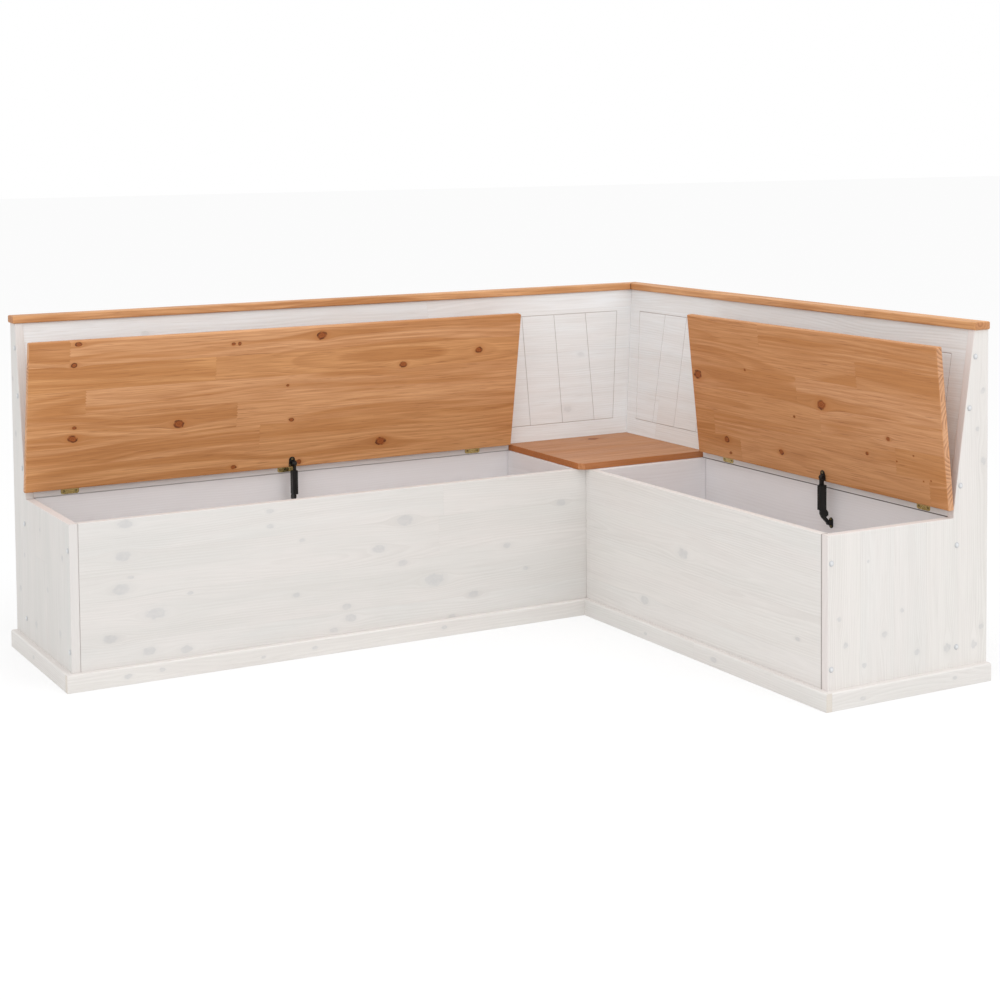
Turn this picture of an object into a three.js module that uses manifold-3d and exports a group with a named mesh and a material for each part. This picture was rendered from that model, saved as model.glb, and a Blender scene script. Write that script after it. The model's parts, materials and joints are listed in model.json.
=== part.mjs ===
// Corner storage bench in pine: two chest seats that meet in a fixed corner seat, under one reclined back.
// Frame: millimetres, +Z up, +X to the right along the long leg, +Y to the wall behind the long leg.
// The long leg's front faces -Y and the short leg's faces -X. The origin is on the floor, under the middle.
import * as THREE from "three";
import { RoundedBoxGeometry } from "three/addons/geometries/RoundedBoxGeometry.js";
import { mergeVertices } from "three/addons/utils/BufferGeometryUtils.js";
import Module from "manifold-3d";

const wasm = await Module();
wasm.setup();

// Overall sizes
const longLegLength = 1930;
const shortLegLength = 1525;
const legDepth = 485;
const overallHeight = 865;
const boxTop = 402;

// Board thicknesses
const panelThickness = 22;
const frontThickness = 20;
const boxBackThickness = 18;
const seatBoardThickness = 18;
const backrestThickness = 18;
const dividerThickness = 18;
const floorThickness = 10;

// Plinths
const plinthHeight = 43;
const plinthThickness = 16;
const plinthRounding = 5;

// Top rails
const topRailThickness = 19;
const topRailDepth = 48;
const topRailOverhang = 6;
const topRailRounding = 3;

// The reclined back: how far its front face stands from the wall, at the seat and at the top
const backAtSeat = 104;
const backAtTop = 41;
const hornProud = 3;

// Grooves that divide each back into a frame and planks
const grooveWidth = 3.2;
const grooveDepth = 1.5;
const plankWidth = 110;
const longFirstGroove = 213;
const shortFirstGroove = 236;
const grooveAboveSeat = 46;
const grooveBelowRail = 62;
const grooveBorder = 50;

// Seats and lids
const boxBackFront = 106;
const hingeRailFront = 107;
const hingeRailDepth = 45;
const lidOverhang = 16;
const lidEndOverhang = 6;
const cornerSeatOverhangLong = 28;
const cornerSeatOverhangShort = 20;
const cornerSeatChamfer = 14;
const longLidToCornerSeat = 5;
const shortLidToCornerSeat = 12;
const longDividerPastFront = 13.5;
const shortDividerPastFront = 16;
const lidCornerRadius = 4;
const lidEdgeRounding = 3;
const longLidOpenDegrees = 80;
const shortLidOpenDegrees = 84;

// Butt hinges
const leafWidth = 48;
const leafHeight = 15.5;
const leafThickness = 1.4;
const leafCornerRadius = 6;
const knuckleRadius = 2.6;
const pinRadius = 1.3;
const pinHeadRadius = 2.2;
const pinHeadThickness = 0.8;
const knuckleCount = 5;
const lidRearGap = 1.5;
const longHingeAtEnd = 122;
const longMiddleHingeAlong = 716;
const longHingeAtCorner = 116;
const shortHingeAtCorner = 110;
const shortHingeAtEnd = 111;

// Lid stays: a channel that hangs from the lid, and a rod on the box back that slides in it
const longStayAlong = 728;
const shortStayAlong = 1073;
const lidPivotAlongLid = 14;
const lidPivotStandoff = 8.5;
const wallPivotStandoff = 8.5;
const wallPivotHeight = 313;
const stayPinRadius = 2;
const stayEyeRadius = 5.5;
const stayEyeWidth = 6;
const lugThickness = 2.5;
const bracketPlateThickness = 2;
const lidPlateHeadWidth = 17;
const lidPlateHeadOffset = 4;
const lidPlateStart = 4;
const lidPlateEnd = 31;
const lidPlateShoulder = 20;
const wallPlateWidth = 15;
const wallPlateHeight = 28;
const channelWidth = 15;
const channelDepth = 20;
const channelWall = 2.2;
const channelLength = 64;
const channelBelowPivot = 19.5;
const channelRounding = 4;
const neckDepth = 11;
const rodFrontOfAxis = 5;
const rodBehindAxis = 13;
const rodTopAbovePivot = 52;
const rodFrontFoot = 27;
const rodHeel = 17;
const hookReach = 20;
const hookLow = 21;
const hookHigh = 29;
const hookTop = 38;
const armThickness = 9;

// Cover caps over the screws in the end panels
const capRadius = 7;
const capHeight = 3;
const backCapAboveSeat = 58;
const backCapBelowRail = 63;
const middleBackCapShare = 0.6;
const boxCapAboveFloor = 92;
const boxCapBelowTop = 65;

// Small values shared by many pieces
const edgeEase = 1.6;
const gap = 0.3;
const cutOverrun = 5;
const weldDistance = 1e-3;
const roundSteps = 14;
const arcSteps = 4;
const quarterTurn = Math.PI / 2;

// Levels and places that follow from the sizes above
const seatUnderside = boxTop + gap;
const seatTop = seatUnderside + seatBoardThickness;
const topRailUnderside = overallHeight - topRailThickness;
const backBottom = seatTop + gap;
const backTop = topRailUnderside - gap;
const backLean = Math.atan2(backAtSeat - backAtTop, topRailUnderside - seatTop);
const cornerSeatReachLong = legDepth + cornerSeatOverhangLong;
const cornerSeatReachShort = legDepth + cornerSeatOverhangShort;
const hingeRailRear = hingeRailFront - hingeRailDepth;
const hingeAxisDepth = hingeRailFront + lidRearGap / 2;
const hingeAxisHeight = seatTop + knuckleRadius + gap;
const frontInside = legDepth - frontThickness;
const longLidStart = -lidEndOverhang;
const longLidEnd = longLegLength - cornerSeatReachLong - longLidToCornerSeat;
const shortLidStart = cornerSeatReachShort + shortLidToCornerSeat;
const shortLidEnd = shortLegLength + lidEndOverhang;
const longDividerAlong = longLegLength - legDepth - longDividerPastFront - dividerThickness;
const shortDividerAlong = legDepth + shortDividerPastFront;

// Finishes
const whiteStain = { color: 0xe3e0da, roughness: 0.55, metalness: 0 };
const honeyStain = { color: 0xc98c58, roughness: 0.5, metalness: 0 };
const innerStain = { color: 0xcdc5c3, roughness: 0.65, metalness: 0 };
const brass = { color: 0xb99a4e, roughness: 0.35, metalness: 1 };
const blackPlastic = { color: 0x1d1c1c, roughness: 0.45, metalness: 0 };
const capPlastic = { color: 0xd9dbdb, roughness: 0.4, metalness: 0 };

// A closed triangle mesh as a solid, and a solid back as a geometry
function solidOf(geometry) {
  const plain = geometry.index ? geometry.toNonIndexed() : geometry.clone();
  plain.deleteAttribute("normal");
  plain.deleteAttribute("uv");
  const merged = mergeVertices(plain, weldDistance);
  const vertProperties = merged.attributes.position.array;
  const triVerts = new Uint32Array(merged.index.array);
  return new wasm.Manifold(new wasm.Mesh({ numProp: 3, vertProperties, triVerts }));
}

function geometryOf(solid) {
  const { vertProperties, triVerts } = solid.getMesh();
  const geometry = new THREE.BufferGeometry();
  geometry.setAttribute("position", new THREE.BufferAttribute(new Float32Array(vertProperties), 3));
  geometry.setIndex(new THREE.BufferAttribute(new Uint32Array(triVerts), 1));
  geometry.computeVertexNormals();
  return geometry;
}

function cut(geometry, cutters) {
  let solid = solidOf(geometry);
  for (const cutter of cutters) solid = solid.subtract(solidOf(cutter));
  return geometryOf(solid);
}

function join(geometries) {
  let solid = solidOf(geometries[0]);
  for (const other of geometries.slice(1)) solid = solid.add(solidOf(other));
  return geometryOf(solid);
}

// A block given by its two opposite corners, with sharp edges or with eased ones
function block(low, high) {
  const size = high.map((value, axis) => value - low[axis]);
  const middle = high.map((value, axis) => (value + low[axis]) / 2);
  return new THREE.BoxGeometry(...size).translate(...middle);
}

function easedBlock(low, high, ease = edgeEase) {
  const size = high.map((value, axis) => value - low[axis]);
  const middle = high.map((value, axis) => (value + low[axis]) / 2);
  return new RoundedBoxGeometry(...size, 1, ease).translate(...middle);
}

// An outline drawn in (y, z) and run along x, from start to end, with its two end faces eased
const alongX = new THREE.Matrix4().makeBasis(
  new THREE.Vector3(0, 1, 0),
  new THREE.Vector3(0, 0, 1),
  new THREE.Vector3(1, 0, 0),
);

function runAlongX(shape, start, end, ease = 0) {
  const geometry = new THREE.ExtrudeGeometry(shape, {
    depth: end - start - 2 * ease,
    bevelEnabled: ease > 0,
    bevelSize: ease,
    bevelThickness: ease,
    bevelOffset: -ease,
    bevelSegments: 2,
    curveSegments: arcSteps,
  });
  return geometry.applyMatrix4(alongX).translate(start + ease, 0, 0);
}

// An outline drawn in (x, y) and raised along z
function raise(shape, bottom, top, ease = 0) {
  const geometry = new THREE.ExtrudeGeometry(shape, {
    depth: top - bottom - 2 * ease,
    bevelEnabled: ease > 0,
    bevelSize: ease,
    bevelThickness: ease,
    bevelOffset: -ease,
    bevelSegments: 2,
    curveSegments: arcSteps,
  });
  return geometry.translate(0, 0, bottom + ease);
}

function outline(points) {
  return new THREE.Shape(points.map(([x, y]) => new THREE.Vector2(x, y)));
}

// A round bar along x
function barAlongX(radius, start, end, y = 0, z = 0) {
  const bar = new THREE.CylinderGeometry(radius, radius, end - start, roundSteps);
  return bar.rotateZ(quarterTurn).translate((start + end) / 2, y, z);
}

function piece(name, geometry, finish) {
  const mesh = new THREE.Mesh(geometry, new THREE.MeshStandardMaterial(finish));
  mesh.name = name;
  return mesh;
}

// The long leg lies along +X. The short leg is the same frame turned a quarter and moved to the corner,
// so in both frames x runs along the leg, -y points to the sitter and z points up.
const bench = new THREE.Group();
const longLeg = new THREE.Group();
const shortLeg = new THREE.Group();
shortLeg.position.x = longLegLength;
shortLeg.rotation.z = -quarterTurn;
bench.add(longLeg, shortLeg);
bench.position.x = -(longLegLength - plinthThickness) / 2;
bench.position.y = (shortLegLength + plinthThickness) / 2;

// End panels: the cheek of the box below, and a horn above that carries the reclined back
function endPanel(start) {
  const cheek = outline([
    [0, 0],
    [0, topRailUnderside - gap],
    [-(backAtTop + hornProud), topRailUnderside - gap],
    [-(backAtSeat + hornProud), seatTop],
    [-hingeRailFront, boxTop],
    [-legDepth, boxTop],
    [-legDepth, 0],
  ]);
  return runAlongX(cheek, start, start + panelThickness, edgeEase);
}

longLeg.add(piece("left_end_panel", endPanel(0), whiteStain));
shortLeg.add(piece("right_end_panel", endPanel(shortLegLength - panelThickness), whiteStain));

// Box walls, dividers and floors
function wall(name, start, end, rear, front, top, finish) {
  return piece(name, easedBlock([start, -front, 0], [end, -rear, top]), finish);
}

const insideLeft = panelThickness + gap;
const insideRight = shortLegLength - panelThickness - gap;
const boxBackRear = boxBackFront - boxBackThickness;
const longInnerCorner = longLegLength - frontInside;
const dividerRear = boxBackFront + gap;
const dividerFront = frontInside - gap;

longLeg.add(
  wall("long_front_panel", insideLeft, longInnerCorner, frontInside, legDepth, boxTop, whiteStain),
  wall(
    "long_box_back",
    insideLeft,
    longLegLength - boxBackRear,
    boxBackRear,
    boxBackFront,
    boxTop,
    innerStain,
  ),
  wall(
    "long_corner_divider",
    longDividerAlong,
    longDividerAlong + dividerThickness,
    dividerRear,
    dividerFront,
    boxTop,
    innerStain,
  ),
);
shortLeg.add(
  wall("short_front_panel", legDepth + gap, insideRight, frontInside, legDepth, boxTop, whiteStain),
  wall("short_box_back", boxBackFront + gap, insideRight, boxBackRear, boxBackFront, boxTop, innerStain),
  wall(
    "short_corner_divider",
    shortDividerAlong,
    shortDividerAlong + dividerThickness,
    dividerRear,
    dividerFront,
    boxTop,
    innerStain,
  ),
);

function boxFloor(name, start, end) {
  const low = [start, -dividerFront, plinthHeight];
  const high = [end, -dividerRear, plinthHeight + floorThickness];
  return piece(name, block(low, high), innerStain);
}

longLeg.add(boxFloor("long_box_floor", insideLeft, longDividerAlong - gap));
shortLeg.add(boxFloor("short_box_floor", shortDividerAlong + dividerThickness + gap, insideRight));

// Plinths: boards round the foot, with the upper outer edge rounded over
function plinth(length) {
  const edge = new THREE.Shape();
  edge.moveTo(0, 0);
  edge.lineTo(-plinthThickness, 0);
  edge.lineTo(-plinthThickness, plinthHeight - plinthRounding);
  edge.absarc(
    plinthRounding - plinthThickness,
    plinthHeight - plinthRounding,
    plinthRounding,
    Math.PI,
    quarterTurn,
    true,
  );
  edge.lineTo(0, plinthHeight);
  return runAlongX(edge, 0, length);
}

const longPlinth = piece(
  "long_front_plinth",
  plinth(longLegLength - legDepth - gap + plinthThickness),
  whiteStain,
);
longPlinth.position.set(-plinthThickness, -legDepth - gap, 0);
const shortPlinthStart = legDepth + plinthThickness + 2 * gap;
const shortPlinth = piece(
  "short_front_plinth",
  plinth(shortLegLength + plinthThickness - shortPlinthStart),
  whiteStain,
);
shortPlinth.position.set(shortPlinthStart, -legDepth - gap, 0);
const leftPlinth = piece("left_end_plinth", plinth(legDepth), whiteStain);
leftPlinth.rotation.z = -quarterTurn;
const rightPlinth = piece("right_end_plinth", plinth(legDepth), whiteStain);
rightPlinth.rotation.z = quarterTurn;
rightPlinth.position.set(shortLegLength, -legDepth, 0);
longLeg.add(longPlinth, leftPlinth);
shortLeg.add(shortPlinth, rightPlinth);

// The mitre: what lies past the diagonal through the corner is cut off each back and each top rail.
// Towards is +1 on the long leg, whose corner lies at its far end, and -1 on the short leg.
function mitreCutter(cornerAlong, towards) {
  const reach = legDepth;
  const diagonal = cornerAlong - towards * gap * Math.SQRT1_2;
  const waste = outline([
    [diagonal - towards * reach, -reach],
    [diagonal + towards * reach, reach],
    [diagonal + towards * reach, -reach],
  ]);
  return raise(waste, -cutOverrun, overallHeight + cutOverrun);
}

// Backrests: one reclined board on each leg, with fine grooves that draw a frame and planks
function grooveCutter(length) {
  const half = grooveWidth / 2;
  const vee = outline([
    [-half, -cutOverrun],
    [-half, 0],
    [0, grooveDepth],
    [half, 0],
    [half, -cutOverrun],
  ]);
  return raise(vee, 0, length);
}

function backrest(cornerAlong, towards, endAlong, firstGroove) {
  const slopeLength = (backTop - backBottom) / Math.cos(backLean);
  const low = Math.min(cornerAlong, endAlong);
  const high = Math.max(cornerAlong, endAlong);
  const boardTop = slopeLength + backrestThickness;
  const board = block([low, 0, -backrestThickness], [high, backrestThickness, boardTop]);
  const lower = grooveAboveSeat / Math.cos(backLean);
  const upper = slopeLength - grooveBelowRail / Math.cos(backLean);
  const innerEnd = endAlong + towards * grooveBorder;
  const cornerShift = Math.sin(backLean);
  const borderAt = (height) => cornerAlong - towards * (backAtSeat + grooveBorder - height * cornerShift);
  const cutters = [];

  for (const height of [lower, upper]) {
    const length = Math.abs(borderAt(height) - innerEnd);
    const line = grooveCutter(length).rotateY(quarterTurn);
    cutters.push(line.translate(Math.min(borderAt(height), innerEnd), 0, height));
  }
  const plankCount = Math.floor((Math.abs(cornerAlong - innerEnd) - firstGroove) / plankWidth);
  for (let index = 0; index < plankCount; index += 1) {
    const along = cornerAlong - towards * (firstGroove + index * plankWidth);
    cutters.push(grooveCutter(upper - lower).translate(along, 0, lower));
  }
  cutters.push(grooveCutter(upper - lower).translate(innerEnd, 0, lower));
  const slant = Math.atan2(borderAt(upper) - borderAt(lower), upper - lower);
  const border = grooveCutter(Math.hypot(upper - lower, borderAt(upper) - borderAt(lower)));
  cutters.push(border.rotateY(slant).translate(borderAt(lower), 0, lower));

  const grooved = cut(board, cutters);
  grooved.rotateX(-backLean).translate(0, -backAtSeat, backBottom);
  const reach = legDepth;
  return cut(grooved, [
    block([low - reach, -reach, -cutOverrun], [high + reach, reach, backBottom]),
    block([low - reach, -reach, backTop], [high + reach, reach, overallHeight + cutOverrun]),
    mitreCutter(cornerAlong, towards),
  ]);
}

const longBack = backrest(longLegLength, 1, insideLeft, longFirstGroove);
const shortBack = backrest(0, -1, insideRight, shortFirstGroove);
longLeg.add(piece("long_backrest", longBack, whiteStain));
shortLeg.add(piece("short_backrest", shortBack, whiteStain));

// Top rails: capping boards on the horns and backs, mitred at the corner
function topRail(start, end, cornerAlong, towards) {
  const low = [start, -topRailDepth, topRailUnderside];
  const rail = easedBlock(low, [end, 0, overallHeight], topRailRounding);
  return cut(rail, [mitreCutter(cornerAlong, towards)]);
}

const railPastCorner = topRailDepth;
longLeg.add(
  piece(
    "long_top_rail",
    topRail(-topRailOverhang, longLegLength + railPastCorner, longLegLength, 1),
    honeyStain,
  ),
);
shortLeg.add(
  piece(
    "short_top_rail",
    topRail(-railPastCorner, shortLegLength + topRailOverhang, 0, -1),
    honeyStain,
  ),
);

// Corner seat: the fixed board over the corner, its front corner cut off
const cornerSeatLeft = longLegLength - cornerSeatReachLong;
const cornerSeatFront = -cornerSeatReachShort;
const cornerSeatRear = hingeRailRear;
const cornerSeatPlan = outline([
  [cornerSeatLeft, -cornerSeatRear],
  [cornerSeatLeft, cornerSeatFront + cornerSeatChamfer],
  [cornerSeatLeft + cornerSeatChamfer, cornerSeatFront],
  [longLegLength - cornerSeatRear, cornerSeatFront],
  [longLegLength - cornerSeatRear, -cornerSeatRear],
]);
longLeg.add(piece("corner_seat", raise(cornerSeatPlan, seatUnderside, seatTop, edgeEase), honeyStain));

// Places along each leg of the hinges and of the lid stay
const longHinges = [
  longLidStart + longHingeAtEnd,
  longMiddleHingeAlong,
  longLidEnd - longHingeAtCorner,
];
const shortHinges = [shortLidStart + shortHingeAtCorner, shortLidEnd - shortHingeAtEnd];
const leafDrop = knuckleRadius + gap + leafHeight;
const recessDepth = leafThickness + gap;

// The outline of a hinge leaf, seen from the front, with the hinge axis at height zero; recesses follow it
function leafOutline(along, margin, top) {
  const half = leafWidth / 2 + margin;
  const bottom = -leafDrop - margin;
  const radius = leafCornerRadius + margin;
  const shape = new THREE.Shape();
  shape.moveTo(along - half, top);
  shape.lineTo(along - half, bottom + radius);
  shape.absarc(along - half + radius, bottom + radius, radius, Math.PI, 3 * quarterTurn, false);
  shape.lineTo(along + half - radius, bottom);
  shape.absarc(along + half - radius, bottom + radius, radius, 3 * quarterTurn, 4 * quarterTurn, false);
  shape.lineTo(along + half, top);
  return shape;
}

function leafRecess(along, front, rear) {
  const recess = raise(leafOutline(along, gap, cutOverrun), 0, rear - front);
  return recess.rotateX(quarterTurn).translate(0, rear, 0);
}

// Hinge rails: fixed boards behind the lids, recessed for the hinge leaves
function hingeRail(start, end, hinges) {
  const rail = easedBlock([start, -hingeRailFront, seatUnderside], [end, -hingeRailRear, seatTop]);
  const recesses = hinges.map((along) => {
    const recess = leafRecess(along, -hingeRailFront - cutOverrun, recessDepth - hingeRailFront);
    return recess.translate(0, 0, hingeAxisHeight);
  });
  return cut(rail, recesses);
}

const longRail = hingeRail(insideLeft, cornerSeatLeft - gap, longHinges);
const shortRail = hingeRail(cornerSeatReachShort + gap, insideRight, shortHinges);
longLeg.add(piece("long_hinge_rail", longRail, whiteStain));
shortLeg.add(piece("short_hinge_rail", shortRail, whiteStain));

// A lid's group has its origin on the hinge axis. Turned by zero the lid is shut; the bench has it open.
function lidGroup(leg, openDegrees) {
  const group = new THREE.Group();
  group.position.set(0, -hingeAxisDepth, hingeAxisHeight);
  group.rotation.x = -THREE.MathUtils.degToRad(openDegrees);
  leg.add(group);
  return group;
}

const longLidGroup = lidGroup(longLeg, longLidOpenDegrees);
const shortLidGroup = lidGroup(shortLeg, shortLidOpenDegrees);
const lidFront = legDepth + lidOverhang - hingeAxisDepth;
const lidRear = lidRearGap / 2;
const lidTop = seatTop - hingeAxisHeight;
const lidUnderside = seatUnderside - hingeAxisHeight;

function lid(start, end, hinges) {
  const plan = new THREE.Shape();
  const radius = lidCornerRadius;
  plan.moveTo(start, -lidRear);
  plan.lineTo(start, radius - lidFront);
  plan.absarc(start + radius, radius - lidFront, radius, Math.PI, 3 * quarterTurn, false);
  plan.lineTo(end - radius, -lidFront);
  plan.absarc(end - radius, radius - lidFront, radius, 3 * quarterTurn, 4 * quarterTurn, false);
  plan.lineTo(end, -lidRear);
  const board = raise(plan, lidUnderside, lidTop, lidEdgeRounding);
  const recesses = hinges.map((along) => leafRecess(along, -lidRear - recessDepth, cutOverrun));
  return cut(board, recesses);
}

longLidGroup.add(piece("long_lid", lid(longLidStart, longLidEnd, longHinges), honeyStain));
shortLidGroup.add(piece("short_lid", lid(shortLidStart, shortLidEnd, shortHinges), honeyStain));

// Butt hinges. Side is +1 for the leaf on the rail and -1 for the leaf on the lid; knuckles alternate.
function hingeLeaf(side) {
  const half = leafWidth / 2;
  const near = side * (lidRearGap / 2);
  const far = side * (lidRearGap / 2 + leafThickness);
  const leaf = raise(leafOutline(0, 0, 0), 0, leafThickness);
  leaf.rotateX(quarterTurn).translate(0, Math.max(near, far), 0);
  const pitch = leafWidth / knuckleCount;
  const knuckles = [];
  const clearances = [];
  for (let index = 0; index < knuckleCount; index += 1) {
    const start = index * pitch - half;
    const own = index % 2 === (side > 0 ? 0 : 1);
    if (own) knuckles.push(barAlongX(knuckleRadius, start + gap / 2, start + pitch - gap / 2));
    else clearances.push(barAlongX(knuckleRadius + gap, start - gap / 2, start + pitch + gap / 2));
  }
  const bore = barAlongX(pinRadius + gap, -leafWidth, leafWidth);
  return cut(join([leaf, ...knuckles]), [bore, ...clearances]);
}

function hingePin() {
  const half = leafWidth / 2;
  return join([
    barAlongX(pinRadius, -half - gap, half + gap),
    barAlongX(pinHeadRadius, -half - gap - pinHeadThickness, -half - gap),
    barAlongX(pinHeadRadius, half + gap, half + gap + pinHeadThickness),
  ]);
}

function addHinge(name, leg, lidBody, along) {
  const railLeaf = piece(`${name}_rail_leaf`, hingeLeaf(1), brass);
  railLeaf.position.set(along, -hingeAxisDepth, hingeAxisHeight);
  const pin = piece(`${name}_pin`, hingePin(), brass);
  pin.position.copy(railLeaf.position);
  const lidLeaf = piece(`${name}_lid_leaf`, hingeLeaf(-1), brass);
  lidLeaf.position.x = along;
  leg.add(railLeaf, pin);
  lidBody.add(lidLeaf);
}

longHinges.forEach((along, index) => addHinge(`long_hinge_${index + 1}`, longLeg, longLidGroup, along));
shortHinges.forEach((along, index) => addHinge(`short_hinge_${index + 1}`, shortLeg, shortLidGroup, along));

// Lid stays. Each hangs from a bracket on the lid and stands on a bracket on the box back.
const lidPivotDepth = lidPivotStandoff - lidUnderside;
const lugInner = stayEyeWidth / 2 + gap;
const lugOuter = lugInner + lugThickness;
const stayBoreRadius = stayPinRadius + gap;

// The bracket on the underside of the lid, in the lid's own frame: a plate with a round head, and two lugs
function lidBracket(along) {
  const headRadius = lidPlateHeadWidth / 2;
  const headMiddle = along - lidPlateHeadOffset;
  const headBase = headRadius - lidPlateEnd;
  const shoulderEnd = along + lugOuter;
  const plate = new THREE.Shape();
  plate.moveTo(headMiddle - headRadius, -lidPlateStart);
  plate.lineTo(headMiddle - headRadius, headBase);
  plate.absarc(headMiddle, headBase, headRadius, Math.PI, 2 * Math.PI, false);
  plate.lineTo(headMiddle + headRadius, -lidPlateShoulder);
  plate.lineTo(shoulderEnd, lidPlateHeadOffset - lidPlateShoulder);
  plate.lineTo(shoulderEnd, -lidPlateStart);
  const plateTop = lidUnderside - gap;
  const plateEase = bracketPlateThickness / 4;
  const lugs = [-1, 1].flatMap((side) => {
    const near = along + side * lugInner;
    const far = along + side * lugOuter;
    const low = [Math.min(near, far), -lidPivotAlongLid - stayEyeRadius, -lidPivotDepth];
    const high = [Math.max(near, far), stayEyeRadius - lidPivotAlongLid, lidUnderside - gap];
    const round = barAlongX(stayEyeRadius, low[0], high[0], -lidPivotAlongLid, -lidPivotDepth);
    return [block(low, high), round];
  });
  const pin = barAlongX(stayPinRadius, -lugOuter, lugOuter, -lidPivotAlongLid, -lidPivotDepth);
  pin.translate(along, 0, 0);
  return join([raise(plate, plateTop - bracketPlateThickness, plateTop, plateEase), ...lugs, pin]);
}

// The channel, drawn from its pivot down: an eye, a neck and a casing that is open at the back
function channelOutline(halfWidth, front, rear, rounding) {
  const shape = new THREE.Shape();
  shape.moveTo(-halfWidth, rear);
  shape.lineTo(-halfWidth, rounding - front);
  shape.absarc(rounding - halfWidth, rounding - front, rounding, Math.PI, 3 * quarterTurn, false);
  shape.lineTo(halfWidth - rounding, -front);
  shape.absarc(halfWidth - rounding, rounding - front, rounding, 3 * quarterTurn, 4 * quarterTurn, false);
  shape.lineTo(halfWidth, rear);
  return shape;
}

function stayChannel() {
  const halfWidth = channelWidth / 2;
  const halfDepth = channelDepth / 2;
  const bottom = -channelBelowPivot - channelLength;
  const outer = channelOutline(halfWidth, halfDepth, halfDepth, channelRounding);
  const casing = raise(outer, bottom, -channelBelowPivot);
  const inner = channelOutline(
    halfWidth - channelWall,
    halfDepth - channelWall,
    halfDepth + cutOverrun,
    channelRounding - channelWall,
  );
  const hollow = raise(inner, bottom - cutOverrun, -channelBelowPivot - channelWall);
  const neck = block(
    [-stayEyeWidth / 2, -neckDepth / 2, -channelBelowPivot - channelWall],
    [stayEyeWidth / 2, neckDepth / 2, 0],
  );
  const eye = barAlongX(stayEyeRadius, -stayEyeWidth / 2, stayEyeWidth / 2);
  const bore = barAlongX(stayBoreRadius, -stayEyeWidth, stayEyeWidth);
  return cut(join([cut(casing, [hollow]), neck, eye]), [bore]);
}

// The rod, drawn from its own pivot on the wall bracket: a plate with an eye, a slanting arm and a hook
function stayRod(reach) {
  const front = -reach - rodFrontOfAxis;
  const rear = rodBehindAxis - reach;
  const arm = armThickness * Math.SQRT1_2;
  const side = outline([
    [front, rodTopAbovePivot],
    [front, rodFrontFoot],
    [front + rodFrontOfAxis, rodHeel],
    [-arm / 2, -arm / 2],
    [arm / 2, arm / 2],
    [rear, rodHeel],
    [hookReach - reach, hookLow],
    [hookReach - reach, hookHigh],
    [rear, hookTop],
    [rear, rodTopAbovePivot],
  ]);
  const half = stayEyeWidth / 2;
  const plate = runAlongX(side, -half, half);
  const bore = barAlongX(stayBoreRadius, -half - cutOverrun, half + cutOverrun);
  return cut(join([plate, barAlongX(stayEyeRadius, -half, half)]), [bore]);
}

// The bracket on the box back, drawn from the rod's pivot: a plate with round ends, and two lugs
function wallBracket() {
  const plateRear = wallPivotStandoff - gap;
  const endRadius = wallPlateWidth / 2;
  const endMiddle = wallPlateHeight / 2 - endRadius;
  const plate = new THREE.Shape();
  plate.absarc(0, endMiddle, endRadius, 0, Math.PI, false);
  plate.absarc(0, -endMiddle, endRadius, Math.PI, 2 * Math.PI, false);
  const upright = raise(plate, 0, bracketPlateThickness, bracketPlateThickness / 4);
  upright.rotateX(quarterTurn).translate(0, plateRear, 0);
  const lugs = [-1, 1].flatMap((side) => {
    const start = Math.min(side * lugInner, side * lugOuter);
    const end = Math.max(side * lugInner, side * lugOuter);
    const web = block([start, 0, -stayEyeRadius], [end, plateRear, stayEyeRadius]);
    return [web, barAlongX(stayEyeRadius, start, end)];
  });
  return join([upright, ...lugs, barAlongX(stayPinRadius, -lugOuter, lugOuter)]);
}

function addStay(name, leg, lidBody, along, openDegrees) {
  lidBody.add(piece(`${name}_stay_lid_bracket`, lidBracket(along), blackPlastic));
  const open = THREE.MathUtils.degToRad(openDegrees);
  const pivotForward = lidPivotAlongLid * Math.cos(open) + lidPivotDepth * Math.sin(open);
  const pivotUp = lidPivotAlongLid * Math.sin(open) - lidPivotDepth * Math.cos(open);
  const channel = piece(`${name}_stay_channel`, stayChannel(), blackPlastic);
  channel.position.set(along, -hingeAxisDepth - pivotForward, hingeAxisHeight + pivotUp);

  const wallPivotDepth = boxBackFront + wallPivotStandoff;
  const reach = hingeAxisDepth + pivotForward - wallPivotDepth;
  const rod = piece(`${name}_stay_rod`, stayRod(reach), blackPlastic);
  rod.position.set(along, -wallPivotDepth, wallPivotHeight);
  const bracket = piece(`${name}_stay_wall_bracket`, wallBracket(), blackPlastic);
  bracket.position.copy(rod.position);
  leg.add(channel, rod, bracket);
}

addStay("long", longLeg, longLidGroup, longStayAlong, longLidOpenDegrees);
addStay("short", shortLeg, shortLidGroup, shortStayAlong, shortLidOpenDegrees);

// Cover caps: low domes over the screws that go through the end panels
function cap() {
  const sphereRadius = (capRadius ** 2 + capHeight ** 2) / (2 * capHeight);
  const sweep = Math.asin(capRadius / sphereRadius);
  const points = [new THREE.Vector2(0, 0)];
  for (let step = 0; step <= arcSteps; step += 1) {
    const angle = sweep * (1 - step / arcSteps);
    const height = sphereRadius * Math.cos(angle) - (sphereRadius - capHeight);
    points.push(new THREE.Vector2(step === arcSteps ? 0 : sphereRadius * Math.sin(angle), height));
  }
  return new THREE.LatheGeometry(points, roundSteps);
}

function backMiddleAt(height) {
  const faceAt = backAtSeat - (height - seatTop) * Math.tan(backLean);
  return faceAt - backrestThickness / 2 / Math.cos(backLean);
}

function addCaps(side, leg, faceAlong, outward, places) {
  places.forEach(([depth, height], index) => {
    const mesh = piece(`${side}_cover_cap_${index + 1}`, cap(), capPlastic);
    mesh.rotation.z = -outward * quarterTurn;
    mesh.position.set(faceAlong + outward * gap, -depth, height);
    leg.add(mesh);
  });
}

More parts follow.
